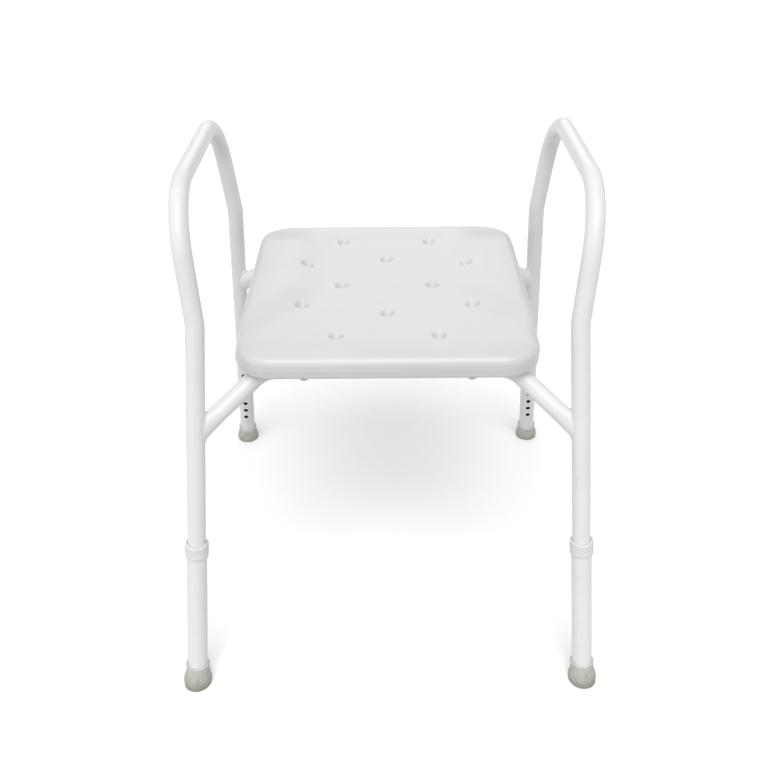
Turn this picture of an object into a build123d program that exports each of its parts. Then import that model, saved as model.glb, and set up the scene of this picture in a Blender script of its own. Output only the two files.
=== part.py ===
"""Shower stool with armrests: two bent side hoops, two cross tubes, a moulded seat
and four telescoping legs locked by snap buttons.

Millimetres. Origin on the floor under the middle of the seat, +Z up, front towards -Y.
Everything is at rest with the legs fully extended.
"""

from build123d import *
from math import sqrt
import os

# --- driving dimensions: the stance ---
foot_span_x = 576.0        # between left and right leg axes, on the floor
foot_span_y = 632.0        # between front and rear leg axes, on the floor
knee_span_x = 500.0        # the same, where the hoop starts to flare outwards
knee_span_y = 400.0
knee_height = 544.0
arm_span_x = 528.0         # between the two armrest axes
arm_span_y = 344.0         # between the armrest's front and rear corner points
arm_height = 708.0         # armrest axis above the floor
knee_radius = 70.0
arm_radius = 95.0

# --- tubes ---
leg_diameter = 28.6
leg_wall = 1.3
slide_clearance = 0.3      # radial, between the hoop tube and the lower leg's bore
hoop_diameter = leg_diameter - 2 * (leg_wall + slide_clearance)
hoop_wall = 1.5
hoop_end = 132.0           # lower end of the hoop tube, measured along the leg from the floor

# --- cross tubes ---
cross_diameter = 25.4
cross_wall = 1.5
cross_corner_x = 170.0     # corner point of the bend, from the middle
cross_y = 176.0            # level run, from the middle
cross_axis_z = 461.0
cross_bend_radius = 45.0
weld_height = 393.0        # where the end's axis meets the leg's axis
crimp_length = 44.0        # from the leg's axis to where the tube is round again
crimp_tall = 31.0
crimp_thin = 17.0

# --- height adjustment ---
hole_pitch = 19.0
hole_count = 7
hole_diameter = 8.4
button_height = 187.0      # along the leg, from the floor
button_diameter = 7.8
button_proud = 2.8         # dome top above the lower leg's surface
button_dome = 2.0
flange_diameter = 11.0
flange_thickness = 1.5
wall_gap = 0.2             # flange corner to the bore of the hoop tube

# --- leaf spring behind the button ---
spring_thickness = 0.8
spring_width = 8.0
spring_length = 40.0
spring_tail = 6.0
spring_wall_gap = 0.12
spring_bend_radius = 1.6

# --- collar ---
leg_top = 232.0            # top of the lower leg's tube, along the leg
collar_wall = 2.2          # round the lower leg
collar_diameter = leg_diameter + 2 * collar_wall
collar_skirt = 16.0        # length that wraps the lower leg
collar_lip = 5.5           # thickness above the tube's end
collar_chamfer = 1.0
collar_clearance = 0.3     # radial, round the sliding hoop tube

# --- rubber tip and its washer ---
tip_sleeve_wall = 2.4      # round the lower leg
tip_flare = 3.8            # how far the bell's foot stands out from the sleeve
tip_sleeve_diameter = leg_diameter + 2 * tip_sleeve_wall
tip_base_diameter = tip_sleeve_diameter + 2 * tip_flare
tip_height = 34.0
tip_base_height = 7.5
tip_flare_top = 25.0
tip_floor = 8.0            # rubber under the washer, along the leg
tip_lip_fillet = 1.2
washer_thickness = 1.5
washer_bore = 9.0
tread_rings = ((9.0, 11.5), (14.5, 17.0))
tread_depth = 1.2

# --- seat ---
seat_width = 412.0
seat_depth = 436.0
seat_bottom = 469.5
seat_middle_z = 502.0      # top surface on the centre line
seat_side_z = 513.0        # top surface at the side edges
seat_corner_radius = 52.0
seat_top_fillet = 12.0
seat_bottom_fillet = 5.0
seat_wall = 3.5
tube_clearance = 0.3       # seat channel round the cross tube
drain_diameter = 8.0
drain_cone_diameter = 19.0
drain_cone_depth = 9.0
drain_wall = 3.0
drain_ends = (70.0, 157.0)     # half spacings, across and along, of the four end drains
drain_sides = (123.0, 64.5)    # of the four outer drains
drain_middle_x = 68.0          # of the two drains on the cross line
drain_middle_y = 90.0          # of the two drains on the centre line

# --- seat fasteners ---
screw_x = 115.0
screw_diameter = 6.0
screw_head_diameter = 9.6
screw_head_height = 2.4
screw_recess_across = 4.0
screw_recess_depth = 1.4
screw_hole_clearance = 0.3
saddle_diameter = 14.0
saddle_thickness = 1.2
insert_diameter = 10.0
insert_length = 17.0
insert_gap = 1.0           # seat floor over the tube to the insert's lower end
boss_wall = 4.0
thread_gap = 0.05

# --- worked out from the above ---
hoop_bore = hoop_diameter / 2 - hoop_wall
leg_bore = leg_diameter / 2 - leg_wall
flange_top = sqrt((hoop_bore - wall_gap) ** 2 - (flange_diameter / 2) ** 2)
flange_under = flange_top - flange_thickness
button_top = leg_diameter / 2 + button_proud
spring_back = sqrt((hoop_bore - spring_wall_gap) ** 2 - (spring_width / 2) ** 2)
tube_foot = tip_floor + washer_thickness
channel_radius = cross_diameter / 2 + tube_clearance
saddle_seat = cross_axis_z - cross_diameter / 2
saddle_bottom = saddle_seat - saddle_thickness
insert_bottom = cross_axis_z + cross_diameter / 2 + insert_gap
seat_roof = seat_middle_z - seat_wall

LEFT, RIGHT, FRONT, REAR = -1, 1, -1, 1
SIDES = {"left": LEFT, "right": RIGHT}
ENDS = {"front": FRONT, "rear": REAR}
UPRIGHT = (Align.CENTER, Align.CENTER, Align.MIN)


def leg_points(side, end):
    """Foot, knee and armrest corner of one leg's axis."""
    foot = Vector(side * foot_span_x / 2, end * foot_span_y / 2, 0)
    knee = Vector(side * knee_span_x / 2, end * knee_span_y / 2, knee_height)
    arm = Vector(side * arm_span_x / 2, end * arm_span_y / 2, arm_height)
    return foot, knee, arm


def leg_plane(side, end, along=0.0):
    """Plane across a leg: Z up the leg's axis, X level with the floor's fore and aft."""
    foot, knee, _ = leg_points(side, end)
    axis = (knee - foot).normalized()
    inward = Vector(0, -end, 0)
    inward = (inward - axis * inward.dot(axis)).normalized()
    return Plane(origin=foot + axis * along, x_dir=inward, z_dir=axis)


def button_plane(side, end, along):
    """Plane on the leg's axis, square to the button, which points to the stool's middle."""
    leg = leg_plane(side, end, along)
    return Plane(origin=leg.origin, x_dir=leg.y_dir, z_dir=leg.x_dir)


def save(builder, name):
    """Label the finished sub-part and write its file."""
    builder.part.label = name
    export_step(builder.part, f"parts/{name}.step")


def make_hoop(name, side):
    """One bent tube: front leg, armrest and rear leg, with a button hole near each end."""
    start = leg_plane(side, FRONT, hoop_end)
    stop = leg_plane(side, REAR, hoop_end)
    _, front_knee, front_arm = leg_points(side, FRONT)
    _, rear_knee, rear_arm = leg_points(side, REAR)
    with BuildPart() as hoop:
        with BuildLine() as path:
            FilletPolyline(
                (start.origin, front_knee, front_arm, rear_arm, rear_knee, stop.origin),
                radius=(knee_radius, arm_radius, arm_radius, knee_radius),
            )
        with BuildSketch(start):
            Circle(hoop_diameter / 2)
            Circle(hoop_bore, mode=Mode.SUBTRACT)
        sweep(path=path.wire())
        for end in ENDS.values():
            with BuildSketch(button_plane(side, end, button_height)):
                Circle(hole_diameter / 2)
            extrude(amount=hoop_diameter, mode=Mode.SUBTRACT)
    save(hoop, f"{name}_side_hoop")


def cross_points(side, end):
    """Where one end of a cross tube meets the leg's axis, and the corner of its bend."""
    foot, knee, _ = leg_points(side, end)
    weld = foot + (knee - foot) * (weld_height / knee_height)
    return weld, Vector(side * cross_corner_x, end * cross_y, cross_axis_z)


def make_cross_rods(radius):
    """Solid rods for the seat's channels and the walls round them, which rest on the tubes."""
    drop = Vector(0, 0, -tube_clearance)
    with BuildPart() as rods:
        for end in ENDS.values():
            left_weld, left_corner = (point + drop for point in cross_points(LEFT, end))
            right_weld, right_corner = (point + drop for point in cross_points(RIGHT, end))
            with BuildLine() as path:
                FilletPolyline(
                    (left_weld, left_corner, right_corner, right_weld),
                    radius=cross_bend_radius,
                )
            with BuildSketch(Plane(origin=left_weld, z_dir=left_corner - left_weld)):
                Circle(radius)
            sweep(path=path.wire())
    return rods.part


def make_cross_tube(name, end):
    """Bent tube under the seat; its crimped ends are coped to the legs they are welded to."""
    welds, corners, rounds, axes = [], [], [], []
    for side in SIDES.values():
        weld, corner = cross_points(side, end)
        welds.append(weld)
        corners.append(corner)
        rounds.append(weld + (corner - weld).normalized() * crimp_length)
        axes.append(leg_plane(side, end).z_dir)
    with BuildPart() as tube:
        with BuildLine() as path:
            FilletPolyline(
                (rounds[0], corners[0], corners[1], rounds[1]),
                radius=cross_bend_radius,
            )
        with BuildSketch(Plane(origin=rounds[0], z_dir=corners[0] - welds[0])):
            Circle(cross_diameter / 2)
            Circle(cross_diameter / 2 - cross_wall, mode=Mode.SUBTRACT)
        sweep(path=path.wire())
        for weld, corner, start, leg_axis in zip(welds, corners, rounds, axes):
            down = (weld - corner).normalized()
            tall = (leg_axis - down * leg_axis.dot(down)).normalized()
            for inset, mode in ((0, Mode.ADD), (cross_wall, Mode.SUBTRACT)):
                with BuildSketch(Plane(origin=start, x_dir=tall, z_dir=down)):
                    Circle(cross_diameter / 2 - inset)
                with BuildSketch(Plane(origin=weld, x_dir=tall, z_dir=down)):
                    Ellipse(crimp_tall / 2 - inset, crimp_thin / 2 - inset)
                loft(mode=mode)
        for side in SIDES.values():
            with BuildSketch(leg_plane(side, end, weld_height - 2 * crimp_tall)):
                Circle(hoop_diameter / 2)
            extrude(amount=4 * crimp_tall, mode=Mode.SUBTRACT)
        with BuildSketch(Plane.XY.offset(saddle_bottom)):
            with Locations((-screw_x, end * cross_y), (screw_x, end * cross_y)):
                Circle(screw_diameter / 2 + screw_hole_clearance)
        extrude(amount=2 * cross_diameter, mode=Mode.SUBTRACT)
    save(tube, f"{name}_cross_tube")


def drain_places():
    """Centres of the twelve drains, the same pattern front and rear."""
    places = []
    for across, along in (drain_ends, drain_sides):
        places += [(x * across, y * along) for x in (-1, 1) for y in (-1, 1)]
    places += [(-drain_middle_x, 0), (drain_middle_x, 0)]
    places += [(0, -drain_middle_y), (0, drain_middle_y)]
    return places


def screw_places():
    """Centres of the four seat screws."""
    return [(x * screw_x, y * cross_y) for x in (-1, 1) for y in (-1, 1)]


def dish_height(x):
    """Height of the seat's top surface at a distance from the centre line."""
    rise = seat_side_z - seat_middle_z
    radius = ((seat_width / 2) ** 2 + rise ** 2) / (2 * rise)
    return seat_middle_z + radius - sqrt(radius ** 2 - x ** 2)


def make_hollow():
    """The seat's inside: one space, less what stays solid round drains, screws and channels."""
    tube_beds = make_cross_rods(channel_radius + seat_wall)
    with BuildPart() as hollow:
        with BuildSketch(Plane.XY.offset(seat_bottom + seat_wall)):
            RectangleRounded(
                seat_width - 2 * seat_wall,
                seat_depth - 2 * seat_wall,
                seat_corner_radius - seat_wall,
            )
        extrude(amount=seat_roof - seat_bottom - seat_wall)
        fillet(hollow.edges().group_by(Axis.Z)[-1], seat_top_fillet - seat_wall)
        for places, radius in (
            (drain_places(), drain_cone_diameter / 2 + drain_wall),
            (screw_places(), insert_diameter / 2 + boss_wall),
        ):
            with BuildSketch(Plane.XY.offset(seat_bottom)):
                with Locations(*places):
                    Circle(radius)
            extrude(amount=seat_side_z - seat_bottom, mode=Mode.SUBTRACT)
        add(tube_beds, mode=Mode.SUBTRACT)
    return hollow.part


def make_seat():
    """Hollow moulded seat: dished top, conical drains, channels for the cross tubes below."""
    side = seat_width / 2
    hollow = make_hollow()
    channels = make_cross_rods(channel_radius)
    with BuildPart() as seat:
        with BuildSketch(Plane.XZ):
            with BuildLine():
                Polyline(
                    (-side, seat_side_z),
                    (-side, seat_bottom),
                    (side, seat_bottom),
                    (side, seat_side_z),
                )
                ThreePointArc((-side, seat_side_z), (0, seat_middle_z), (side, seat_side_z))
            make_face()
        extrude(amount=seat_depth / 2, both=True)
        fillet(seat.edges().filter_by(Axis.Z), seat_corner_radius)
        fillet(seat.faces().sort_by(Axis.Z)[0].edges(), seat_bottom_fillet)
        fillet(seat.faces().sort_by(Axis.Z)[-1].edges(), seat_top_fillet)
        add(hollow, mode=Mode.SUBTRACT)
        slope = (drain_cone_diameter - drain_diameter) / 2 / drain_cone_depth
        rise = seat_side_z - seat_middle_z
        for x, y in drain_places():
            with Locations((x, y, seat_bottom)):
                Cylinder(drain_diameter / 2, seat_depth, align=UPRIGHT, mode=Mode.SUBTRACT)
            with Locations((x, y, dish_height(x) - drain_cone_depth)):
                Cone(
                    drain_diameter / 2,
                    drain_diameter / 2 + slope * (drain_cone_depth + rise),
                    drain_cone_depth + rise,
                    align=UPRIGHT,
                    mode=Mode.SUBTRACT,
                )
        add(channels, mode=Mode.SUBTRACT)
        with BuildSketch(Plane.XY.offset(seat_bottom)):
            with Locations(*screw_places()):
                Circle(screw_diameter / 2 + screw_hole_clearance)
        extrude(amount=insert_bottom - seat_bottom, mode=Mode.SUBTRACT)
        with BuildSketch(Plane.XY.offset(insert_bottom)):
            with Locations(*screw_places()):
                Circle(insert_diameter / 2)
        extrude(amount=insert_length, mode=Mode.SUBTRACT)
    save(seat, "seat")


def make_seat_fasteners():
    """Saddle washers, screws and threaded inserts, four of each."""
    with BuildPart() as saddles:
        with BuildSketch(Plane.XY.offset(saddle_bottom)):
            with Locations(*screw_places()):
                Circle(saddle_diameter / 2)
                Circle(screw_diameter / 2 + screw_hole_clearance, mode=Mode.SUBTRACT)
        extrude(amount=2 * saddle_thickness)
        with BuildSketch(Plane.YZ):
            with Locations((FRONT * cross_y, cross_axis_z), (REAR * cross_y, cross_axis_z)):
                Circle(cross_diameter / 2)
        extrude(amount=seat_width, both=True, mode=Mode.SUBTRACT)
    save(saddles, "seat_saddle_washers")

    with BuildPart() as screws:
        with BuildSketch(Plane.XY.offset(saddle_bottom)):
            with Locations(*screw_places()):
                Circle(screw_head_diameter / 2)
        extrude(amount=-screw_head_height)
        fillet(screws.edges().group_by(Axis.Z)[0], screw_head_height / 3)
        with BuildSketch(Plane.XY.offset(saddle_bottom - screw_head_height)):
            with Locations(*screw_places()):
                RegularPolygon(screw_recess_across / 2, 6)
        extrude(amount=screw_recess_depth, mode=Mode.SUBTRACT)
        with BuildSketch(Plane.XY.offset(saddle_bottom)):
            with Locations(*screw_places()):
                Circle(screw_diameter / 2)
        extrude(amount=insert_bottom + insert_length - insert_gap - saddle_bottom)
    save(screws, "seat_screws")

    with BuildPart() as inserts:
        with BuildSketch(Plane.XY.offset(insert_bottom)):
            with Locations(*screw_places()):
                Circle(insert_diameter / 2)
                Circle(screw_diameter / 2 + thread_gap, mode=Mode.SUBTRACT)
        extrude(amount=insert_length)
    save(inserts, "seat_inserts")


def make_lower_leg(name, side, end):
    """Outer tube of the telescoping leg, with its column of adjustment holes."""
    with BuildPart() as leg:
        with BuildSketch(leg_plane(side, end, tube_foot)):
            Circle(leg_diameter / 2)
            Circle(leg_bore, mode=Mode.SUBTRACT)
        extrude(amount=leg_top - tube_foot)
        for step in range(hole_count):
            with BuildSketch(button_plane(side, end, button_height - step * hole_pitch)):
                Circle(hole_diameter / 2)
            extrude(amount=leg_diameter, mode=Mode.SUBTRACT)
    save(leg, f"{name}_lower_leg")


def make_collar(name, side, end):
    """Moulded collar that caps the lower leg and guides the hoop tube."""
    with BuildPart() as collar:
        with BuildSketch(leg_plane(side, end, leg_top - collar_skirt)):
            Circle(collar_diameter / 2)
        extrude(amount=collar_skirt + collar_lip)
        chamfer(collar.edges(), collar_chamfer)
        with BuildSketch(leg_plane(side, end, leg_top - collar_skirt)):
            Circle(leg_diameter / 2)
        extrude(amount=collar_skirt, mode=Mode.SUBTRACT)
        with BuildSketch(leg_plane(side, end, leg_top)):
            Circle(hoop_diameter / 2 + collar_clearance)
        extrude(amount=collar_lip, mode=Mode.SUBTRACT)
    save(collar, f"{name}_leg_collar")


def make_tip(name, side, end):
    """Rubber tip: bell round the tube's foot, cut level with the floor, with tread rings."""
    leg = leg_plane(side, end)
    base = tip_base_diameter / 2
    sleeve = tip_sleeve_diameter / 2
    with BuildPart() as tip:
        with BuildSketch(Plane(origin=leg.origin, x_dir=leg.x_dir, z_dir=-leg.y_dir)):
            with BuildLine():
                Polyline(
                    (sleeve, tip_flare_top),
                    (sleeve, tip_height),
                    (0, tip_height),
                    (0, -tip_base_height),
                    (base, -tip_base_height),
                    (base, tip_base_height),
                )
                Spline(
                    (base, tip_base_height),
                    (sleeve, tip_flare_top),
                    tangents=((0, 1), (0, 1)),
                )
            make_face()
        revolve(axis=Axis(leg.origin, leg.z_dir))
        fillet(tip.faces().sort_by(Axis(leg.origin, leg.z_dir))[-1].edges(), tip_lip_fillet)
        with BuildSketch(leg_plane(side, end, tip_floor)):
            Circle(leg_diameter / 2)
        extrude(amount=tip_height, mode=Mode.SUBTRACT)
        split(bisect_by=Plane.XY, keep=Keep.TOP)
        for inner, outer in tread_rings:
            with BuildSketch(Plane(origin=leg.origin)):
                Circle(outer)
                Circle(inner, mode=Mode.SUBTRACT)
            extrude(amount=tread_depth, mode=Mode.SUBTRACT)
    save(tip, f"{name}_rubber_tip")


def make_tip_washer(name, side, end):
    """Steel washer that keeps the tube from cutting through the rubber."""
    with BuildPart() as washer:
        with BuildSketch(leg_plane(side, end, tip_floor)):
            Circle(leg_diameter / 2)
            Circle(washer_bore / 2, mode=Mode.SUBTRACT)
        extrude(amount=washer_thickness)
    save(washer, f"{name}_tip_washer")


def make_button(name, side, end):
    """Snap button: domed pin with a flange that bears on the spring."""
    across = button_plane(side, end, button_height)
    with BuildPart() as button:
        with BuildSketch(across.offset(flange_under)):
            Circle(flange_diameter / 2)
        extrude(amount=flange_thickness)
        with BuildSketch(across.offset(flange_top)):
            Circle(button_diameter / 2)
        extrude(amount=button_top - flange_top)
        fillet(button.faces().sort_by(Axis(across.origin, across.z_dir))[-1].edges(), button_dome)
    save(button, f"{name}_snap_button")


def make_button_spring(name, side, end):
    """Leaf spring folded to a V inside the hoop tube, pushing the button outwards."""
    leg = leg_plane(side, end, button_height)
    front = flange_under - spring_thickness / 2
    back = spring_thickness / 2 - spring_back
    with BuildPart() as spring:
        with BuildSketch(Plane(origin=leg.origin, x_dir=leg.x_dir, z_dir=-leg.y_dir)):
            with BuildLine() as leaf:
                FilletPolyline(
                    (front, -spring_tail),
                    (front, spring_tail),
                    ((front + back) / 2, spring_length),
                    (back, spring_tail),
                    (back, -spring_tail),
                    radius=spring_bend_radius,
                )
            trace(line_width=spring_thickness)
        extrude(amount=spring_width / 2, both=True)
    save(spring, f"{name}_button_spring")


os.makedirs("parts", exist_ok=True)
for side_name, side_sign in SIDES.items():
    make_hoop(side_name, side_sign)
for end_name, end_sign in ENDS.items():
    make_cross_tube(end_name, end_sign)
make_seat()
make_seat_fasteners()
for end_name, end_sign in ENDS.items():
    for side_name, side_sign in SIDES.items():
        leg_name = f"{end_name}_{side_name}"
        make_lower_leg(leg_name, side_sign, end_sign)
        make_collar(leg_name, side_sign, end_sign)
        make_tip(leg_name, side_sign, end_sign)
        make_tip_washer(leg_name, side_sign, end_sign)
        make_button(leg_name, side_sign, end_sign)
        make_button_spring(leg_name, side_sign, end_sign)
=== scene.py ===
"""Looks of the shower stool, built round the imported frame. Metres, +Z up, front towards -Y."""

from math import cos, pi, radians, sin, sqrt, tan

import bmesh
import bpy
from mathutils import Matrix, Vector, geometry, noise


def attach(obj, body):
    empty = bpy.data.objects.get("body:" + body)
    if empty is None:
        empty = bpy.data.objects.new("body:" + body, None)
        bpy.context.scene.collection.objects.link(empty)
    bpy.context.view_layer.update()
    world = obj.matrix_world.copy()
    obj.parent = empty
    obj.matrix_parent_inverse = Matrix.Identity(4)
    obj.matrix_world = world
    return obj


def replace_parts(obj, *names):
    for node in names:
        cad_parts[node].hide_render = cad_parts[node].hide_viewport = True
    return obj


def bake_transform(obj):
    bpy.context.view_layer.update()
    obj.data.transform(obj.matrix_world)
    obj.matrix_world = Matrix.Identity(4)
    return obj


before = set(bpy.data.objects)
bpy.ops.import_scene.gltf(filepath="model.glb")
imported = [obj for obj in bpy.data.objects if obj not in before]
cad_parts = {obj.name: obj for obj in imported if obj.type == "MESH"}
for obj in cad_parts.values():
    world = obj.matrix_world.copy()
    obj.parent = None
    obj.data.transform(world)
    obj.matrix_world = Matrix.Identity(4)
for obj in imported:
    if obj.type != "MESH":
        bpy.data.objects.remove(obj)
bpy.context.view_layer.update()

LEFT, RIGHT, FRONT, REAR = -1, 1, -1, 1
LEGS = {
    "front_left": (LEFT, FRONT),
    "front_right": (RIGHT, FRONT),
    "rear_left": (LEFT, REAR),
    "rear_right": (RIGHT, REAR),
}

# sizes of the frame, in metres
FOOT = Vector((0.288, 0.316, 0.0))
KNEE = Vector((0.250, 0.200, 0.544))
LEG_RADIUS = 0.0143
TUBE_RADIUS = 0.0127
LEG_TOP = 0.232
WELD_HEIGHT = 0.393
CORNER = Vector((0.170, 0.176, 0.461))
CROSS_BEND = 0.045


def smooth(t):
    t = min(1.0, max(0.0, t))
    return t * t * (3 - 2 * t)


def leg_frame(side, end):
    """Foot point, axis up the leg, direction inwards along y, and the third direction."""
    foot = Vector((side * FOOT.x, end * FOOT.y, 0))
    knee = Vector((side * KNEE.x, end * KNEE.y, KNEE.z))
    axis = (knee - foot).normalized()
    inward = Vector((0, -end, 0))
    inward = (inward - axis * inward.dot(axis)).normalized()
    return foot, axis, inward, axis.cross(inward)


def meeting(side, end):
    """Where a cross tube's end meets the leg's axis."""
    foot = Vector((side * FOOT.x, end * FOOT.y, 0))
    knee = Vector((side * KNEE.x, end * KNEE.y, KNEE.z))
    return foot + (knee - foot) * (WELD_HEIGHT / KNEE.z)


# ---------------------------------------------------------------- materials

BARE_TO_PAINT = (0.01335, 0.01395)     # distances from a leg's axis, inside its wall
PAINTED_SHADE_FADE = 0.036                       # height along the leg over which the tip's painted shade fades from dark at the floor to light up the sleeve


def material(name):
    """An empty node material: the tree, its Principled shader and a place to add nodes."""
    made = bpy.data.materials.new(name)
    made.use_nodes = True
    tree = made.node_tree
    shader = tree.nodes["Principled BSDF"]
    return made, tree, shader


def node(tree, kind, **values):
    made = tree.nodes.new(kind)
    for key, value in values.items():
        if key in made.inputs:
            made.inputs[key].default_value = value
        else:
            setattr(made, key, value)
    return made


def coords(tree, scale=(1, 1, 1)):
    place = node(tree, "ShaderNodeTexCoord")
    mapped = node(tree, "ShaderNodeMapping", Scale=scale)
    tree.links.new(place.outputs["Object"], mapped.inputs["Vector"])
    return mapped.outputs["Vector"]


def noise_of(tree, where, scale, detail=3.0, roughness=0.5):
    made = node(tree, "ShaderNodeTexNoise", Scale=scale, Detail=detail, Roughness=roughness)
    tree.links.new(where, made.inputs["Vector"])
    return made.outputs["Fac"]


def ramp(tree, value, stops):
    made = node(tree, "ShaderNodeValToRGB")
    bar = made.color_ramp
    while len(bar.elements) < len(stops):
        bar.elements.new(0.5)
    for element, (place, colour) in zip(bar.elements, stops):
        element.position = place
        element.color = colour if len(colour) == 4 else (*colour, 1)
    tree.links.new(value, made.inputs["Fac"])
    return made.outputs["Color"]


def spread(tree, value, low, high, start=0.0, stop=1.0):
    made = node(tree, "ShaderNodeMapRange")
    made.inputs["From Min"].default_value = start
    made.inputs["From Max"].default_value = stop
    made.inputs["To Min"].default_value = low
    made.inputs["To Max"].default_value = high
    tree.links.new(value, made.inputs["Value"])
    return made.outputs["Result"]


def maths(tree, how, a, b=None):
    made = node(tree, "ShaderNodeMath", operation=how)
    for place, value in enumerate((a, b)):
        if value is None:
            continue
        if isinstance(value, (int, float)):
            made.inputs[place].default_value = value
        else:
            tree.links.new(value, made.inputs[place])
    return made.outputs["Value"]


def mixed(tree, factor, a, b, how="MIX"):
    made = node(tree, "ShaderNodeMix", data_type="RGBA", blend_type=how)
    if isinstance(factor, (int, float)):
        made.inputs[0].default_value = factor
    else:
        tree.links.new(factor, made.inputs[0])
    for place, value in ((6, a), (7, b)):
        if isinstance(value, tuple):
            made.inputs[place].default_value = value if len(value) == 4 else (*value, 1)
        else:
            tree.links.new(value, made.inputs[place])
    return made.outputs[2]


def bump(tree, shader, height, strength, distance):
    made = node(tree, "ShaderNodeBump", Strength=strength, Distance=distance)
    tree.links.new(height, made.inputs["Height"])
    tree.links.new(made.outputs["Normal"], shader.inputs["Normal"])


def corner_tag(side, end):
    """Two letters that tell the four legs' own materials apart."""
    return ("l" if side < 0 else "r") + ("f" if end < 0 else "r")


def from_leg(tree, where, side, end, operation):
    """A node with the vector from a leg's foot, crossed or dotted with the leg's axis."""
    foot, axis, _, _ = leg_frame(side, end)
    away = node(tree, "ShaderNodeVectorMath", operation="SUBTRACT")
    tree.links.new(where, away.inputs[0])
    away.inputs[1].default_value = foot
    made = node(tree, "ShaderNodeVectorMath", operation=operation)
    tree.links.new(away.outputs["Vector"], made.inputs[0])
    made.inputs[1].default_value = axis
    return made


def paint_layers(tree, shader, where):
    """Colour and roughness of white powder coat, with its orange peel set on the shader."""
    cloud = noise_of(tree, where, 22.0, 3.0)
    tone = ramp(tree, cloud, ((0.3, (0.775, 0.78, 0.78)), (0.7, (0.81, 0.813, 0.807))))
    speck = noise_of(tree, where, 1500.0, 2.0)
    tone = mixed(tree, spread(tree, speck, 0.0, 0.10, 0.62, 0.75), tone, (0.55, 0.55, 0.54))
    bump(tree, shader, noise_of(tree, where, 520.0, 2.0, 0.45), 0.10, 0.0006)
    return tone, spread(tree, cloud, 0.27, 0.36, 0.3, 0.7)


def powder_coat():
    """White powder coat: orange peel, faint cloudiness and a satin gloss that varies a little."""
    made, tree, shader = material("powder_coat")
    tone, gloss = paint_layers(tree, shader, coords(tree))
    tree.links.new(tone, shader.inputs["Base Color"])
    tree.links.new(gloss, shader.inputs["Roughness"])
    return made


def coated_leg(side, end):
    """Powder coat outside and bare metal in the bore, told apart by distance from the axis."""
    made, tree, shader = material(f"coated_leg_{corner_tag(side, end)}")
    where = coords(tree)
    square = from_leg(tree, where, side, end, "CROSS_PRODUCT")
    length = node(tree, "ShaderNodeVectorMath", operation="LENGTH")
    tree.links.new(square.outputs["Vector"], length.inputs[0])
    bare = spread(tree, length.outputs["Value"], 1.0, 0.0, *BARE_TO_PAINT)
    tone, gloss = paint_layers(tree, shader, where)
    streak = noise_of(tree, where, 240.0, 3.0)
    inside = ramp(tree, streak, ((0.3, (0.035, 0.034, 0.032)), (0.7, (0.07, 0.066, 0.06))))
    tree.links.new(mixed(tree, bare, tone, inside), shader.inputs["Base Color"])
    gloss = maths(tree, "ADD", gloss, maths(tree, "MULTIPLY", bare, 0.3))
    tree.links.new(gloss, shader.inputs["Roughness"])
    return made


def moulded_seat():
    """Moulded white polyethylene: fine leather-like grain, flow mottling and scuffs."""
    made, tree, shader = material("moulded_seat")
    where = coords(tree)
    flow = noise_of(tree, coords(tree, (0.6, 1.6, 1.0)), 14.0, 4.0, 0.55)
    tone = ramp(tree, flow, ((0.32, (0.640, 0.640, 0.633)), (0.68, (0.668, 0.668, 0.663))))
    fleck = noise_of(tree, where, 900.0, 2.0)
    tone = mixed(tree, spread(tree, fleck, 0.0, 0.12, 0.6, 0.8), tone, (0.56, 0.56, 0.54))
    tree.links.new(tone, shader.inputs["Base Color"])
    tree.links.new(spread(tree, flow, 0.30, 0.36, 0.3, 0.7), shader.inputs["Roughness"])
    grain = node(tree, "ShaderNodeTexVoronoi", Scale=620.0)
    tree.links.new(where, grain.inputs["Vector"])
    ripple = noise_of(tree, where, 75.0, 3.0)
    height = maths(tree, "ADD", maths(tree, "MULTIPLY", grain.outputs["Distance"], 0.5), ripple)
    bump(tree, shader, height, 0.16, 0.0005)
    shader.inputs["Specular IOR Level"].default_value = 0.5
    return made


def collar_plastic():
    """Light grey moulded plastic, a little cloudier and duller than the paint."""
    made, tree, shader = material("collar_plastic")
    where = coords(tree)
    cloud = noise_of(tree, where, 90.0, 4.0)
    tone = ramp(tree, cloud, ((0.3, (0.70, 0.705, 0.70)), (0.7, (0.765, 0.768, 0.76))))
    tree.links.new(tone, shader.inputs["Base Color"])
    tree.links.new(spread(tree, cloud, 0.36, 0.5, 0.3, 0.7), shader.inputs["Roughness"])
    bump(tree, shader, noise_of(tree, where, 1100.0, 2.0), 0.12, 0.0003)
    return made


def shade_painted_tip_rubber(side, end):
    """Grey-green rubber, speckled, with painted shade that darkens it towards the floor and
    painted light that makes it lighter up the sleeve.
    """
    made, tree, shader = material(f"shade_painted_tip_rubber_{corner_tag(side, end)}")
    where = coords(tree)
    along = from_leg(tree, where, side, end, "DOT_PRODUCT")
    cloud = noise_of(tree, where, 130.0, 4.0, 0.6)
    blur = spread(tree, cloud, -0.006, 0.006, 0.3, 0.7)
    height = maths(tree, "ADD", along.outputs["Value"], blur)
    # painted shade: the rubber darkens towards the floor and lightens up the sleeve, its edge
    # wobbled by the cloud noise
    tone = ramp(
        tree,
        spread(tree, height, 0.0, 1.0, 0.0, PAINTED_SHADE_FADE),
        (
            (0.0, (0.30, 0.305, 0.262)),
            (0.25, (0.42, 0.43, 0.37)),
            (0.62, (0.50, 0.51, 0.45)),
            (0.9, (0.60, 0.615, 0.57)),
        ),
    )
    speck = noise_of(tree, where, 1300.0, 2.0)
    tone = mixed(tree, spread(tree, speck, 0.0, 0.5, 0.58, 0.72), tone, (0.13, 0.13, 0.10))
    tree.links.new(tone, shader.inputs["Base Color"])
    tree.links.new(spread(tree, cloud, 0.55, 0.72, 0.3, 0.7), shader.inputs["Roughness"])
    bump(tree, shader, noise_of(tree, where, 900.0, 3.0), 0.22, 0.0004)
    shader.inputs["Specular IOR Level"].default_value = 0.35
    return made


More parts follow.
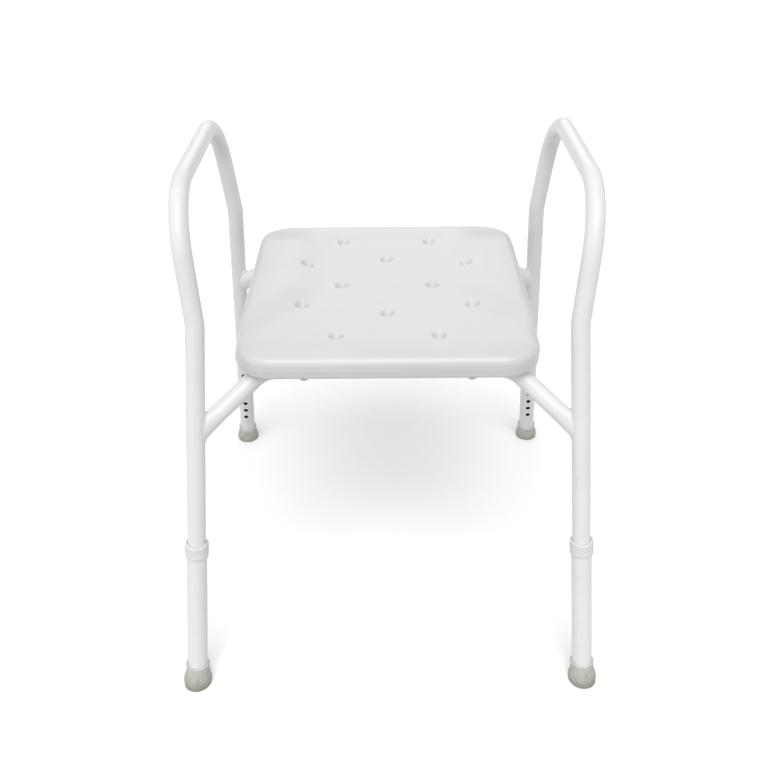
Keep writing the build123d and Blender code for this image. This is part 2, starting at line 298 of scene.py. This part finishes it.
def plated(name, dark, light, rough, metallic=1.0):
    """Plated or bare metal with fine scratches and uneven tone."""
    made, tree, shader = material(name)
    where = coords(tree)
    cloud = noise_of(tree, where, 160.0, 4.0, 0.6)
    tree.links.new(ramp(tree, cloud, ((0.3, dark), (0.7, light))), shader.inputs["Base Color"])
    tree.links.new(spread(tree, cloud, rough, rough + 0.16, 0.3, 0.7), shader.inputs["Roughness"])
    bump(tree, shader, noise_of(tree, coords(tree, (1, 1, 8)), 700.0, 3.0), 0.15, 0.0002)
    shader.inputs["Metallic"].default_value = metallic
    return made


def floor_surface():
    """Plain pale floor, barely mottled and matt, with a little light of its own."""
    made, tree, shader = material("studio_floor")
    where = coords(tree)
    cloud = noise_of(tree, where, 0.7, 2.0)
    tone = ramp(tree, cloud, ((0.3, (0.93, 0.93, 0.93)), (0.7, (0.95, 0.95, 0.95))))
    tree.links.new(tone, shader.inputs["Base Color"])
    shader.inputs["Roughness"].default_value = 0.9
    shader.inputs["Specular IOR Level"].default_value = 0.1
    shader.inputs["Emission Color"].default_value = (1, 1, 1, 1)
    shader.inputs["Emission Strength"].default_value = 0.12
    return made


PAINT = powder_coat()
SEAT_PLASTIC = moulded_seat()
COLLAR_PLASTIC = collar_plastic()
ZINC = plated("zinc_plate", (0.42, 0.43, 0.45), (0.62, 0.63, 0.65), 0.28)
BLACKENED = plated("blackened_steel", (0.012, 0.012, 0.013), (0.03, 0.03, 0.032), 0.32, 0.6)
SPRING = plated("spring_steel", (0.22, 0.22, 0.23), (0.36, 0.36, 0.37), 0.3)
BRASS = plated("turned_brass", (0.50, 0.36, 0.13), (0.66, 0.50, 0.22), 0.24)


def dress(name, surface):
    """Gives a carried-over node its material."""
    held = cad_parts[name].data.materials
    if len(held):
        for place in range(len(held)):
            held[place] = surface
    else:
        held.append(surface)


for name in ("left_side_hoop", "right_side_hoop", "front_cross_tube", "rear_cross_tube"):
    dress(name, PAINT)
for name in ("seat_screws", "seat_saddle_washers"):
    dress(name, ZINC)
dress("seat_inserts", BRASS)
for name, (side, end) in LEGS.items():
    dress(f"{name}_lower_leg", coated_leg(side, end))
    dress(f"{name}_tip_washer", ZINC)
    dress(f"{name}_snap_button", BLACKENED)


# ---------------------------------------------------------------- mesh helpers

def piece(name, bm, surface, angle=35.0):
    """Turns a bmesh into an object with smooth shading that stops at sharp edges."""
    bmesh.ops.recalc_face_normals(bm, faces=bm.faces)
    data = bpy.data.meshes.new(name)
    bm.to_mesh(data)
    bm.free()
    data.materials.append(surface)
    made = bpy.data.objects.new(name, data)
    bpy.context.scene.collection.objects.link(made)
    data.shade_smooth()
    data.set_sharp_from_angle(angle=radians(angle))
    return made


def ring_strip(bm, lower, upper):
    """Quads between two closed rings of as many vertices."""
    count = len(lower)
    for k in range(count):
        bm.faces.new((lower[k], lower[(k + 1) % count], upper[(k + 1) % count], upper[k]))


def cut(target, bm):
    """Takes a closed shape away from a piece."""
    bmesh.ops.recalc_face_normals(bm, faces=bm.faces)
    data = bpy.data.meshes.new("cutter")
    bm.to_mesh(data)
    bm.free()
    tool = bpy.data.objects.new("cutter", data)
    bpy.context.scene.collection.objects.link(tool)
    change = target.modifiers.new("cut", "BOOLEAN")
    change.operation = "DIFFERENCE"
    change.solver = "EXACT"
    change.object = tool
    graph = bpy.context.evaluated_depsgraph_get()
    result = bpy.data.meshes.new_from_object(target.evaluated_get(graph))
    target.modifiers.clear()
    target.data = result
    bpy.data.objects.remove(tool)


# ---------------------------------------------------------------- seat

SEAT_HALF_X = 0.206
SEAT_HALF_Y = 0.218
SEAT_CORNER = 0.052
SEAT_BOTTOM = 0.4695
SEAT_MIDDLE = 0.502
BOLSTER_RISE = 0.0110
BOLSTER_MIDDLE = 0.120      # middle of the slope, from the seat's centre line
BOLSTER_HALF = 0.032        # half the slope's width
BOLSTER_TURN = -0.016       # y where the slope starts to run outwards, towards the front
BOLSTER_RUN = 0.112         # how far forward it runs
BOLSTER_OUT = 0.086         # how far outwards it gets
BOLSTER_CURVE = 1.35
REAR_RISE = 0.0056
RIM_RADIUS = 0.0120
FOOT_RADIUS = 0.005
DRAIN_RADIUS = 0.004
DIMPLE_DEPTH = 0.0085
DIMPLE_RADIUS = 0.0105
DIMPLE_REACH = 0.014
DRAIN_CLEAR = 0.0152        # no grid points this near to a drain, where its own rings are
RING_COUNT = 40
RING_RADII = (
    DRAIN_RADIUS, 0.0045, 0.0052, 0.006, 0.0069, 0.0078,
    0.0087, 0.0096, DIMPLE_RADIUS, 0.0116, 0.0131,
)
RIM_ANGLES = (0.0, 10.0, 20.0, 31.0, 42.0, 54.0, 67.0, 80.0)
FOOT_ANGLES = (0.0, 15.0, 30.0, 45.0, 60.0, 75.0, 90.0)
GRID_STEP = 0.0042
WALL_SHARE = 0.62           # the side wall's height in the shares below
WALL_LEVELS = (             # (inset, share), with a faint parting line at half height
    (0.0, 0.60), (0.0, 0.40), (0.0, 0.315), (0.0, 0.305),
    (0.0003, 0.300), (0.0003, 0.285), (0.0, 0.280), (0.0003, 0.20),
)
FOOT_INSET = 0.0006
TUBE_GAP = 0.0003           # channel round the cross tube
SCREW_BORE = (              # (radius, height) of the screw's hole and the insert's pocket
    (0.0033, 0.455), (0.0033, 0.4747), (0.005, 0.4747), (0.005, 0.4917),
)
DRAINS = [
    (x * a, y * b)
    for a, b in ((0.070, 0.157), (0.123, 0.0645))
    for x in (-1, 1)
    for y in (-1, 1)
]
DRAINS += [(-0.068, 0.0), (0.068, 0.0), (0.0, -0.090), (0.0, 0.090)]
SCREWS = [(x * 0.115, y * 0.176) for x in (-1, 1) for y in (-1, 1)]


def outline(inset, count=320):
    """Points round the seat's plan, a rounded rectangle, moved in by an inset."""
    corner = max(SEAT_CORNER - inset, 0.004)
    core_x, core_y = SEAT_HALF_X - inset - corner, SEAT_HALF_Y - inset - corner
    per_arc = 28
    per_side = count // 4 - per_arc
    starts = ((-core_x, -core_y), (core_x, -core_y), (core_x, core_y), (-core_x, core_y))
    points = []
    for quarter, (x, y) in enumerate(starts):
        far_x, far_y = starts[(quarter + 1) % 4]
        turn = quarter * pi / 2 - pi / 2
        off_x, off_y = corner * cos(turn), corner * sin(turn)
        for k in range(per_side):
            t = k / per_side
            points.append((x + (far_x - x) * t + off_x, y + (far_y - y) * t + off_y))
        for k in range(per_arc):
            a = turn + (pi / 2) * k / per_arc
            points.append((far_x + corner * cos(a), far_y + corner * sin(a)))
    return points


def edge_distance(x, y):
    """How far a point lies inside the seat's outline."""
    dx, dy = abs(x) - SEAT_HALF_X + SEAT_CORNER, abs(y) - SEAT_HALF_Y + SEAT_CORNER
    outside = sqrt(max(dx, 0) ** 2 + max(dy, 0) ** 2)
    return SEAT_CORNER - outside - min(max(dx, dy), 0)


def bolster(x, y):
    """0 in the hollow of the seat and 1 on the raised sides, which run out towards the front."""
    run = max(0.0, (BOLSTER_TURN - y) / BOLSTER_RUN)
    middle = BOLSTER_MIDDLE + BOLSTER_OUT * run ** BOLSTER_CURVE
    lean = 0.0
    if run > 0:
        lean = BOLSTER_OUT * BOLSTER_CURVE * run ** (BOLSTER_CURVE - 1) / BOLSTER_RUN
    gap = (abs(x) - middle) / sqrt(1 + lean * lean)
    return smooth((gap + BOLSTER_HALF) / (2 * BOLSTER_HALF))


def seat_top(x, y):
    """Height of the seat's top, before the rim turns down."""
    raised = bolster(x, y)
    lip = smooth((y - 0.140) / 0.066)
    z = SEAT_MIDDLE + BOLSTER_RISE * raised
    z += (REAR_RISE - BOLSTER_RISE * raised) * lip
    z += 0.0010 * smooth((-0.110 - y) / 0.05)
    z -= 0.0022 * smooth((-0.165 - y) / 0.053)
    z += 0.0002 * noise.noise(Vector((x * 16, y * 16, 0.3)))
    return z


def dimple(x, y):
    """How far the nearest drain's dish pulls the top down, with a soft rim."""
    pull = 0.0
    for dx, dy in DRAINS:
        r = sqrt((x - dx) ** 2 + (y - dy) ** 2)
        if r < DIMPLE_REACH:
            t = min(1.0, max(0.0, (DIMPLE_RADIUS - r) / (DIMPLE_RADIUS - DRAIN_RADIUS)))
            pull = DIMPLE_DEPTH * (0.35 * t + 0.65 * smooth(t))
    return pull


def top_z(x, y):
    """Height of the seat's top with its drains and its rounded rim."""
    z = seat_top(x, y) - dimple(x, y)
    gap = RIM_RADIUS - edge_distance(x, y)
    if gap > 0:
        gap = min(gap, RIM_RADIUS)
        z -= RIM_RADIUS - sqrt(RIM_RADIUS ** 2 - gap ** 2)
    return z


def near_drain(x, y, radius):
    return any((x - dx) ** 2 + (y - dy) ** 2 < radius ** 2 for dx, dy in DRAINS)


def circle(x, y, radius):
    return [
        (x + radius * cos(2 * pi * k / RING_COUNT), y + radius * sin(2 * pi * k / RING_COUNT))
        for k in range(RING_COUNT)
    ]


def loop_edges(start, count):
    return [(start + k, start + (k + 1) % count) for k in range(count)]


def triangulated(points, edges):
    """Flat points, faces that leave the drains open, and where each given point ended up."""
    found = geometry.delaunay_2d_cdt([Vector(p) for p in points], edges, [], 0, 1e-7, True)
    flat, faces, origins = found[0], found[2], found[3]
    place_of = {o: index for index, source in enumerate(origins) for o in source}
    kept = []
    for face in faces:
        x = sum(flat[k].x for k in face) / len(face)
        y = sum(flat[k].y for k in face) / len(face)
        if not near_drain(x, y, DRAIN_RADIUS * 0.998):
            kept.append(face)
    return flat, kept, place_of


def build_seat():
    """The moulded seat as one closed shell: top, rim, side wall, underside and drain bores."""
    bm = bmesh.new()
    rim_insets = [RIM_RADIUS * (1 - sin(radians(a))) for a in RIM_ANGLES]
    first = outline(rim_insets[0])
    points = list(first)
    edges = loop_edges(0, len(first))
    for extra in (0.003, 0.0065):
        points += outline(rim_insets[0] + extra)
    hole_starts = []
    for dx, dy in DRAINS:
        hole_starts.append(len(points))
        for radius in RING_RADII:
            edges += loop_edges(len(points), RING_COUNT)
            points += circle(dx, dy, radius)
    reach = int(SEAT_HALF_Y / GRID_STEP) + 1
    for i in range(-reach, reach + 1):
        for j in range(-reach, reach + 1):
            x, y = i * GRID_STEP, j * GRID_STEP
            if edge_distance(x, y) < rim_insets[0] + 0.0085 or near_drain(x, y, DRAIN_CLEAR):
                continue
            points.append((x, y))
    flat, faces, place_of = triangulated(points, edges)
    verts = [bm.verts.new((p.x, p.y, top_z(p.x, p.y))) for p in flat]
    for face in faces:
        bm.faces.new([verts[k] for k in face])
    # the rim, the side wall with its faint parting line, and the foot's rounding
    previous = [verts[place_of[k]] for k in range(len(first))]
    tops = [(p.co.x, p.co.y) for p in previous]
    base = [seat_top(x, y) for x, y in tops]
    for a, inset in zip(RIM_ANGLES[1:], rim_insets[1:]):
        ring = []
        for (x, y), z in zip(outline(inset), base):
            ring.append(bm.verts.new((x, y, z - RIM_RADIUS * (1 - cos(radians(a))))))
        ring_strip(bm, previous, ring)
        previous = ring
    for inset, share in WALL_LEVELS:
        ring = []
        for (x, y), z in zip(outline(inset), base):
            high = z - RIM_RADIUS
            low = SEAT_BOTTOM + FOOT_RADIUS
            ring.append(bm.verts.new((x, y, low + (high - low) * share / WALL_SHARE)))
        ring_strip(bm, previous, ring)
        previous = ring
    for a in FOOT_ANGLES:
        inset = FOOT_INSET + FOOT_RADIUS * (1 - cos(radians(a)))
        z = SEAT_BOTTOM + FOOT_RADIUS * (1 - sin(radians(a)))
        ring = [bm.verts.new((x, y, z)) for x, y in outline(inset)]
        ring_strip(bm, previous, ring)
        previous = ring
    # the underside, with the drains coming through it
    points = [(v.co.x, v.co.y) for v in previous]
    edges = loop_edges(0, len(previous))
    for dx, dy in DRAINS:
        edges += loop_edges(len(points), RING_COUNT)
        points += circle(dx, dy, DRAIN_RADIUS)
    flat, faces, under = triangulated(points, edges)
    made = [None] * len(flat)
    for k, vert in enumerate(previous):
        made[under[k]] = vert
    for index, p in enumerate(flat):
        if made[index] is None:
            made[index] = bm.verts.new((p.x, p.y, SEAT_BOTTOM))
    for face in faces:
        bm.faces.new([made[k] for k in face])
    for number, start in enumerate(hole_starts):
        upper = [verts[place_of[start + k]] for k in range(RING_COUNT)]
        offset = len(previous) + number * RING_COUNT
        lower = [made[under[offset + k]] for k in range(RING_COUNT)]
        ring_strip(bm, lower, upper)
    return piece("seat_shell", bm, SEAT_PLASTIC, 50.0)


def cross_path(end, drop=0.0):
    """Points along a cross tube's axis from leg to leg, bends rounded as the tube is."""
    corners = [Vector((side * CORNER.x, end * CORNER.y, CORNER.z)) for side in (LEFT, RIGHT)]
    ends = [meeting(side, end) for side in (LEFT, RIGHT)]
    bends = ((corners[0], ends[0], corners[1]), (corners[1], corners[0], ends[1]))
    path = [ends[0]]
    for corner, before, after in bends:
        back = (before - corner).normalized()
        on = (after - corner).normalized()
        half = back.angle(on) / 2
        reach = CROSS_BEND / tan(half)
        centre = corner + (back + on).normalized() * (CROSS_BEND / sin(half))
        start, stop = corner + back * reach, corner + on * reach
        a, b = start - centre, stop - centre
        turn = a.angle(b)
        for k in range(9):
            t = k / 8
            path.append(centre + (a * sin((1 - t) * turn) + b * sin(t * turn)) / sin(turn))
    path.append(ends[1])
    return [p - Vector((0, 0, drop)) for p in path]


def rod(path, radius, count=40):
    """A closed round rod along a path."""
    bm = bmesh.new()
    rings = []
    side = Vector((0, 0, 1))
    for k, p in enumerate(path):
        ahead = (path[min(k + 1, len(path) - 1)] - path[max(k - 1, 0)]).normalized()
        across = ahead.cross(side).normalized()
        up = across.cross(ahead)
        turns = [2 * pi * j / count for j in range(count)]
        rings.append([bm.verts.new(p + (across * cos(t) + up * sin(t)) * radius) for t in turns])
    for low, high in zip(rings, rings[1:]):
        ring_strip(bm, low, high)
    bm.faces.new(rings[0])
    bm.faces.new(rings[-1])
    return bm


def bored(centre, profile, count=32):
    """A closed turned shape standing on +Z, from (radius, height) pairs."""
    bm = bmesh.new()
    x, y = centre
    turns = [2 * pi * j / count for j in range(count)]
    rings = [
        [bm.verts.new((x + r * cos(t), y + r * sin(t), z)) for t in turns] for r, z in profile
    ]
    for low, high in zip(rings, rings[1:]):
        ring_strip(bm, low, high)
    bm.faces.new(rings[0])
    bm.faces.new(rings[-1])
    return bm


seat_piece = build_seat()
for end in (FRONT, REAR):
    cut(seat_piece, rod(cross_path(end, TUBE_GAP), TUBE_RADIUS + TUBE_GAP))
for place in SCREWS:
    cut(seat_piece, bored(place, SCREW_BORE))
seat_piece.data.shade_smooth()
seat_piece.data.set_sharp_from_angle(angle=radians(50.0))
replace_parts(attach(seat_piece, "frame"), "seat")


# ---------------------------------------------------------------- collars and tips

SKIN = 0.00002              # how far a bore stands off the tube it grips
COLLAR_RADIUS = 0.0165
COLLAR_SKIRT = 0.016
COLLAR_LIP = 0.0055
COLLAR_BORE = 0.0130
COLLAR_SCOOP = 0.0022
FLUTE_COUNT = 24
FLUTE_DEPTH = 0.00035
TIP_BASE = 0.0205
TIP_SLEEVE = 0.0167
TIP_HEIGHT = 0.034
TIP_FLARE = 0.025           # where the bell becomes the sleeve
TIP_SHELF = 0.0075          # where the foot becomes the bell
TIP_TUCK = 0.0007           # how much the foot draws in at the floor
TIP_SCOOP = 0.0016
TIP_FLOOR = 0.0080
TIP_SLITS = (               # (angle, half width in angle, from, to, depth)
    (pi + 0.22, 0.085, 0.0055, 0.0170, 0.0013),
    (pi - 0.75, 0.07, 0.0080, 0.0125, 0.0008),
    (0.5, 0.07, 0.0060, 0.0160, 0.0010),
)
TREAD = (                   # (radius, height) across the foot, with two grooves
    (0.0172, 0.0), (0.0170, 0.0), (0.0169, 0.0012), (0.0146, 0.0012), (0.0145, 0.0),
    (0.0116, 0.0), (0.0115, 0.0012), (0.0091, 0.0012), (0.0090, 0.0), (0.0030, 0.0),
)


def turned(side, end, rows, count):
    """Closed shape round a leg's axis. Each row gives (radius, height) for an angle."""
    foot, axis, inward, across = leg_frame(side, end)
    bm = bmesh.new()
    rings = []
    for row in rows:
        ring = []
        for k in range(count):
            a = 2 * pi * k / count
            radius, height = row(a)
            out = inward * cos(a) + across * sin(a)
            ring.append(bm.verts.new(foot + axis * height + out * radius))
        rings.append(ring)
    return bm, rings


def build_collar(name, side, end):
    """Collar with fine vertical flutes, a lip close round the tube and a scooped top edge."""
    count = 144
    low, high = LEG_TOP - COLLAR_SKIRT, LEG_TOP + COLLAR_LIP

    def top(a):
        return high - COLLAR_SCOOP * cos(2 * a)

    def flute(a, depth):
        return depth * max(0.0, cos(FLUTE_COUNT * a)) ** 2

    def row(radius, height, follow=0.0, depth=0.0):
        return lambda a: (radius - flute(a, depth), height + follow * (top(a) - high))

    rows = [
        row(LEG_RADIUS + SKIN, low + 0.0002),
        row(LEG_RADIUS + 0.0011, low),
        row(0.0161, low + 0.0004),
        row(COLLAR_RADIUS, low + 0.0012),
        row(COLLAR_RADIUS, low + 0.0026),
        row(COLLAR_RADIUS, low + 0.0032, 0.0, FLUTE_DEPTH),
        row(COLLAR_RADIUS, low + 0.0100, 0.3, FLUTE_DEPTH),
        row(COLLAR_RADIUS, high - 0.0050, 0.8, FLUTE_DEPTH),
        row(COLLAR_RADIUS, high - 0.0042, 0.9),
        row(COLLAR_RADIUS, high - 0.0022, 1.0),
        row(0.0162, high - 0.0010, 1.0),
        row(0.0154, high - 0.0002, 1.0),
        row(0.0146, high, 1.0),
        row(0.0138, high - 0.0003, 1.0),
        row(0.0131, high - 0.0011, 1.0),
        row(COLLAR_BORE, LEG_TOP + 0.0001),
        row(LEG_RADIUS + SKIN, LEG_TOP),
    ]
    bm, rings = turned(side, end, rows, count)
    for below, above in zip(rings, rings[1:] + rings[:1]):
        ring_strip(bm, below, above)
    return piece(f"{name}_collar_moulding", bm, COLLAR_PLASTIC, 42.0)


def build_tip(name, side, end):
    """Rubber bell with a scooped lip, flare, mould marks and a level tread with two grooves."""
    foot, axis, inward, across = leg_frame(side, end)
    count = 120

    def floor_height(a, radius):
        out = inward * cos(a) + across * sin(a)
        return -(out.z * radius) / axis.z

    def scoop(a):
        return -TIP_SCOOP * cos(2 * a)

    def mark(a, h):
        """Depth of the moulded slits at an angle and a height."""
        depth = 0.0
        for place, wide, low, high, deep in TIP_SLITS:
            gap = abs((a - place + pi) % (2 * pi) - pi)
            if gap < wide * 1.6:
                along = smooth((h - low) / 0.0012 + 0.5) * smooth((high - h) / 0.0012 + 0.5)
                depth = max(depth, deep * along * (1 - smooth(gap / wide - 0.35)))
        return depth

    def bell(h):
        """Outer radius at a height along the leg."""
        if h <= TIP_SHELF:
            return TIP_BASE - TIP_TUCK * (1 - min(1.0, max(0.0, h / TIP_SHELF))) ** 2
        if h < TIP_FLARE:
            t = (h - TIP_SHELF) / (TIP_FLARE - TIP_SHELF)
            return TIP_BASE + (TIP_SLEEVE - TIP_BASE) * smooth(t) ** 0.92
        return TIP_SLEEVE

    rows = []
    for share in (0.0, 0.12, 0.3, 0.5, 0.7, 0.85, 1.0):
        def row(a, share=share):
            start = floor_height(a, TIP_BASE - TIP_TUCK)
            h = start + (TIP_SHELF - start) * share
            return bell(h) - mark(a, h), h
        rows.append(row)
    steps = 15
    for k in range(1, steps + 1):
        h = TIP_SHELF + (TIP_FLARE - TIP_SHELF) * k / steps
        rows.append(lambda a, h=h: (bell(h) - mark(a, h), h))
    for radius, h, follow in (
        (TIP_SLEEVE - 0.00005, TIP_HEIGHT - 0.0052, 0.6),
        (TIP_SLEEVE - 0.00005, TIP_HEIGHT - 0.0040, 0.8),
        (TIP_SLEEVE + 0.00035, TIP_HEIGHT - 0.0034, 0.9),
        (TIP_SLEEVE + 0.00050, TIP_HEIGHT - 0.0022, 1.0),
        (TIP_SLEEVE + 0.00030, TIP_HEIGHT - 0.0010, 1.0),
        (TIP_SLEEVE - 0.00040, TIP_HEIGHT - 0.0002, 1.0),
        (TIP_SLEEVE - 0.00120, TIP_HEIGHT, 1.0),
        (LEG_RADIUS + 0.00060, TIP_HEIGHT - 0.0003, 1.0),
        (LEG_RADIUS + SKIN, TIP_HEIGHT - 0.0010, 1.0),
        (LEG_RADIUS + SKIN, TIP_FLOOR, 0.0),
    ):
        rows.append(lambda a, radius=radius, h=h, follow=follow: (radius, h + scoop(a) * follow))
    bm, rings = turned(side, end, rows, count)
    for below, above in zip(rings, rings[1:]):
        ring_strip(bm, below, above)
    bm.faces.new(rings[-1])
    # the tread, level with the floor
    centre = Vector((foot.x, foot.y, 0))
    previous = rings[0]
    for radius, z in TREAD:
        ring = []
        for k in range(count):
            a = 2 * pi * k / count
            out = inward * cos(a) + across * sin(a)
            flat = Vector((out.x, out.y, 0)).normalized()
            ring.append(bm.verts.new(centre + flat * radius + Vector((0, 0, z))))
        ring_strip(bm, ring, previous)
        previous = ring
    bm.faces.new(previous)
    for v in bm.verts:
        if v.co.z < 0:
            v.co.z = 0
    return piece(f"{name}_tip_bell", bm, shade_painted_tip_rubber(side, end), 38.0)


for name, (side, end) in LEGS.items():
    collar = build_collar(name, side, end)
    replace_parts(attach(collar, f"{name}_leg"), f"{name}_leg_collar")
    tip = build_tip(name, side, end)
    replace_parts(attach(tip, f"{name}_leg"), f"{name}_rubber_tip")


# ---------------------------------------------------------------- weld beads

CRIMP_HALF_TALL = 0.0155
CRIMP_HALF_WIDE = 0.0085
BEAD_RADIUS = 0.0021
BEAD_STEPS = 180
BEAD_SIDES = 10


def build_weld(name, side, end):
    """Rippled fillet weld round the crimped end of a cross tube, where it meets the leg."""
    foot, axis, _, _ = leg_frame(side, end)
    weld = meeting(side, end)
    corner = Vector((side * CORNER.x, end * CORNER.y, CORNER.z))
    down = (weld - corner).normalized()
    tall = (axis - down * axis.dot(down)).normalized()
    wide = down.cross(tall)
    bm = bmesh.new()
    rings = []
    for k in range(BEAD_STEPS):
        a = 2 * pi * k / BEAD_STEPS
        offset = tall * (CRIMP_HALF_TALL * cos(a)) + wide * (CRIMP_HALF_WIDE * sin(a))
        # where a line along the cross tube through this point of its outline meets the leg
        start = weld + offset - down * 0.06
        lean = start - foot
        flat_start = lean - axis * lean.dot(axis)
        flat_down = down - axis * down.dot(axis)
        qa = flat_down.dot(flat_down)
        qb = 2 * flat_start.dot(flat_down)
        qc = flat_start.dot(flat_start) - TUBE_RADIUS ** 2
        root = max(qb * qb - 4 * qa * qc, 0.0)
        t = (-qb - sqrt(root)) / (2 * qa)
        meet = start + down * t
        out = (meet - foot) - axis * (meet - foot).dot(axis)
        out.normalize()
        away = offset.normalized()
        unrest = noise.noise(Vector((k * 0.11, side * 3, end * 5)))
        size = BEAD_RADIUS * (1 + 0.10 * cos(2 * pi * k / 6.0) + 0.12 * unrest)
        tangent = out.cross(away).normalized()
        up = tangent.cross(out).normalized()
        ring = []
        for j in range(BEAD_SIDES):
            b = 2 * pi * j / BEAD_SIDES
            ring.append(bm.verts.new(meet + up * (size * cos(b)) + out * (size * 0.9 * sin(b))))
        rings.append(ring)
    for k in range(BEAD_STEPS):
        ring_strip(bm, rings[k], rings[(k + 1) % BEAD_STEPS])
    return piece(f"{name}_weld_bead", bm, PAINT, 60.0)


for name, (side, end) in LEGS.items():
    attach(build_weld(name, side, end), "frame")


# ---------------------------------------------------------------- leaf springs


def build_spring(name):
    """The folded leaf, with its front and back arms, copied whole from the imported spring."""
    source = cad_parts[f"{name}_button_spring"]
    bm = bmesh.new()
    bm.from_mesh(source.data)
    bm.transform(source.matrix_world)
    made = piece(f"{name}_leaf_spring", bm, SPRING, 40.0)
    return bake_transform(made)


for name, (side, end) in LEGS.items():
    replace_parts(build_spring(name), f"{name}_button_spring")


# ---------------------------------------------------------------- camera, light and floor

FLOOR_SIZE = 14.0
FLOOR_DROP = 0.0002         # the floor lies this far under the tips
CAMERA_PLACE = (-0.0055, -1.2565, 1.1196)
CAMERA_PITCH = 32.216       # degrees down from level
CAMERA_ROLL = -0.45


def build_floor():
    bm = bmesh.new()
    bmesh.ops.create_grid(bm, x_segments=8, y_segments=8, size=FLOOR_SIZE)
    data = bpy.data.meshes.new("studio_floor")
    bm.to_mesh(data)
    bm.free()
    data.materials.append(floor_surface())
    made = bpy.data.objects.new("studio_floor", data)
    bpy.context.scene.collection.objects.link(made)
    made.location.z = -FLOOR_DROP
    made.visible_diffuse = False
    return made


build_floor()

scene = bpy.context.scene
scene.view_settings.view_transform = "Standard"
world = bpy.data.worlds.new("studio")
scene.world = world
world.use_nodes = True
sky = world.node_tree.nodes["Background"]
sky.inputs["Color"].default_value = (0.97, 0.98, 1.0, 1)
sky.inputs["Strength"].default_value = 0.55


def soft_sun(name, towards, spread_angle, strength):
    """Even light from a broad part of the sky, which falls off nowhere on the floor."""
    data = bpy.data.lights.new(name, "SUN")
    data.angle = radians(spread_angle)
    data.energy = strength
    made = bpy.data.objects.new(name, data)
    scene.collection.objects.link(made)
    made.rotation_euler = Vector(towards).to_track_quat("-Z", "Y").to_euler()
    return made


def softbox(name, place, aim, size, power):
    """Rectangular studio light, hidden from the camera itself."""
    data = bpy.data.lights.new(name, "AREA")
    data.shape = "RECTANGLE"
    data.size, data.size_y = size
    data.energy = power
    made = bpy.data.objects.new(name, data)
    scene.collection.objects.link(made)
    made.location = place
    made.rotation_euler = (Vector(aim) - Vector(place)).to_track_quat("-Z", "Y").to_euler()
    made.visible_camera = False
    return made


soft_sun("key", (0.02, 0.66, -0.88), 42.0, 1.66)
soft_sun("side", (0.90, 0.30, -0.16), 40.0, 0.42)
soft_sun("overhead", (0.05, 0.30, -1.0), 50.0, 0.30)
softbox("back", (0.0, 3.4, 2.3), (0.0, 0.0, 0.5), (1.9, 1.3), 11.0)

camera_data = bpy.data.cameras.new("camera")
camera_data.sensor_width = 36.0
camera_data.lens = 43.47
camera_data.shift_y = -0.0016
camera = bpy.data.objects.new("camera", camera_data)
scene.collection.objects.link(camera)
camera.matrix_world = (
    Matrix.Translation(CAMERA_PLACE)
    @ Matrix.Rotation(radians(90.0 - CAMERA_PITCH), 4, "X")
    @ Matrix.Rotation(radians(CAMERA_ROLL), 4, "Z")
)
scene.camera = camera
